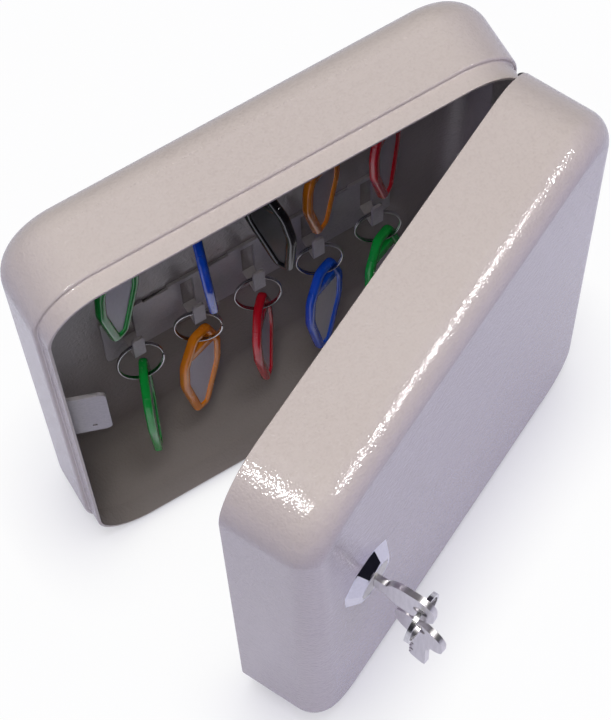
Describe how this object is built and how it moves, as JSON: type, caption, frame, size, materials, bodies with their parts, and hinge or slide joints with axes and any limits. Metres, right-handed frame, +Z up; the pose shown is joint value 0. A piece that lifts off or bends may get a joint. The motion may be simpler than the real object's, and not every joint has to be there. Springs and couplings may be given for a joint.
{
  "type": "key cabinet",
  "caption": "Small steel wall cabinet with a deep hinged door, a cam lock with its keys on a ring, and two rows of hooks that carry framed key tags.",
  "frame": {"origin": "middle of the four wall holes, on the back face of the cabinet", "axes": "+X to the hinge side, +Y into the wall, so the door is towards -Y, +Z up; the door stands partly open at rest"},
  "size_m": [0.1714, 0.1444, 0.2],
  "materials": {
    "shell_paint": "pale warm grey hammer paint",
    "inner_paint": "pale grey paint on the fittings inside",
    "hinge_steel": "zinc plated steel",
    "chrome": "bright chrome plate",
    "lock_zinc": "satin nickel plated zinc",
    "key_steel": "nickel plated key",
    "ring_steel": "nickel plated wire",
    "tag_green": "glossy green moulded plastic",
    "tag_orange": "glossy orange moulded plastic",
    "tag_red": "glossy red moulded plastic",
    "tag_blue": "glossy blue moulded plastic",
    "tag_black": "glossy black moulded plastic",
    "label_paper": "pale paper under a clear film"
  },
  "bodies": {
    "root": {"body_shell": "shell_paint", "hinge_leaf_body": "hinge_steel", "hinge_pin": "hinge_steel", "strike_bracket": "inner_paint", "hook_plate_upper": "inner_paint", "hook_plate_lower": "inner_paint"},
    "door": {"door_shell": "shell_paint", "hinge_leaf_door": "hinge_steel", "lock_body": "chrome", "lock_nut": "lock_zinc"},
    "lock_plug": {"lock_plug": "lock_zinc", "lock_cam": "lock_zinc", "cam_screw": "lock_zinc"},
    "main_key": {"main_key": "key_steel"},
    "key_ring": {"key_ring": "ring_steel"},
    "spare_key": {"spare_key": "key_steel"},
    "tag_upper_1": {"tag_ring_upper_1": "ring_steel", "tag_frame_upper_1": "tag_green", "tag_label_upper_1": "label_paper"},
    "tag_upper_2": {"tag_ring_upper_2": "ring_steel", "tag_frame_upper_2": "tag_blue", "tag_label_upper_2": "label_paper"},
    "tag_upper_3": {"tag_ring_upper_3": "ring_steel", "tag_frame_upper_3": "tag_black", "tag_label_upper_3": "label_paper"},
    "tag_upper_4": {"tag_ring_upper_4": "ring_steel", "tag_frame_upper_4": "tag_orange", "tag_label_upper_4": "label_paper"},
    "tag_upper_5": {"tag_ring_upper_5": "ring_steel", "tag_frame_upper_5": "tag_red", "tag_label_upper_5": "label_paper"},
    "tag_lower_1": {"tag_ring_lower_1": "ring_steel", "tag_frame_lower_1": "tag_green", "tag_label_lower_1": "label_paper"},
    "tag_lower_2": {"tag_ring_lower_2": "ring_steel", "tag_frame_lower_2": "tag_orange", "tag_label_lower_2": "label_paper"},
    "tag_lower_3": {"tag_ring_lower_3": "ring_steel", "tag_frame_lower_3": "tag_red", "tag_label_lower_3": "label_paper"},
    "tag_lower_4": {"tag_ring_lower_4": "ring_steel", "tag_frame_lower_4": "tag_blue", "tag_label_lower_4": "label_paper"},
    "tag_lower_5": {"tag_ring_lower_5": "ring_steel", "tag_frame_lower_5": "tag_green", "tag_label_lower_5": "label_paper"}
  },
  "joints": [
    {"name": "door_hinge", "type": "hinge", "parent": "root", "child": "door", "pos_m": [0.0802, -0.02925, 0], "axis": [0, 0, 1], "range_deg": [-25.8, 94.2]},
    {"name": "lock_turn", "type": "hinge", "parent": "door", "child": "lock_plug", "pos_m": [-0.02615, -0.11759, 0.016], "axis": [-0.4352, 0.9003, 0], "range_deg": [0, 90]},
    {"name": "key_slide", "type": "slide", "parent": "lock_plug", "child": "main_key", "axis": [0.4352, -0.9003, 0], "range_m": [0, 0.024]},
    {"name": "key_ring_swing", "type": "hinge", "parent": "main_key", "child": "key_ring", "pos_m": [-0.01758, -0.13533, 0.0141], "axis": [0.9003, 0.4352, 0], "range_deg": [-12, 12]},
    {"name": "spare_key_swing", "type": "hinge", "parent": "key_ring", "child": "spare_key", "pos_m": [-0.01758, -0.13533, -0.00165], "axis": [0.9003, 0.4352, 0], "range_deg": [-15, 15]},
    {"name": "tag_swing_upper_1", "type": "hinge", "parent": "root", "child": "tag_upper_1", "pos_m": [-0.044, -0.0066, 0.066], "axis": [0, 1, 0], "range_deg": [-5, 5]},
    {"name": "tag_swing_upper_2", "type": "hinge", "parent": "root", "child": "tag_upper_2", "pos_m": [-0.022, -0.0066, 0.066], "axis": [0, 1, 0], "range_deg": [-5, 5]},
    {"name": "tag_swing_upper_3", "type": "hinge", "parent": "root", "child": "tag_upper_3", "pos_m": [0, -0.0066, 0.066], "axis": [0, 1, 0], "range_deg": [-5, 5]},
    {"name": "tag_swing_upper_4", "type": "hinge", "parent": "root", "child": "tag_upper_4", "pos_m": [0.022, -0.0066, 0.066], "axis": [0, 1, 0], "range_deg": [-5, 5]},
    {"name": "tag_swing_upper_5", "type": "hinge", "parent": "root", "child": "tag_upper_5", "pos_m": [0.044, -0.0066, 0.066], "axis": [0, 1, 0], "range_deg": [-5, 5]},
    {"name": "tag_swing_lower_1", "type": "hinge", "parent": "root", "child": "tag_lower_1", "pos_m": [-0.044, -0.0066, -0.023], "axis": [0, 1, 0], "range_deg": [-5, 5]},
    {"name": "tag_swing_lower_2", "type": "hinge", "parent": "root", "child": "tag_lower_2", "pos_m": [-0.022, -0.0066, -0.023], "axis": [0, 1, 0], "range_deg": [-5, 5]},
    {"name": "tag_swing_lower_3", "type": "hinge", "parent": "root", "child": "tag_lower_3", "pos_m": [0, -0.0066, -0.023], "axis": [0, 1, 0], "range_deg": [-5, 5]},
    {"name": "tag_swing_lower_4", "type": "hinge", "parent": "root", "child": "tag_lower_4", "pos_m": [0.022, -0.0066, -0.023], "axis": [0, 1, 0], "range_deg": [-5, 5]},
    {"name": "tag_swing_lower_5", "type": "hinge", "parent": "root", "child": "tag_lower_5", "pos_m": [0.044, -0.0066, -0.023], "axis": [0, 1, 0], "range_deg": [-5, 5]}
  ]
}
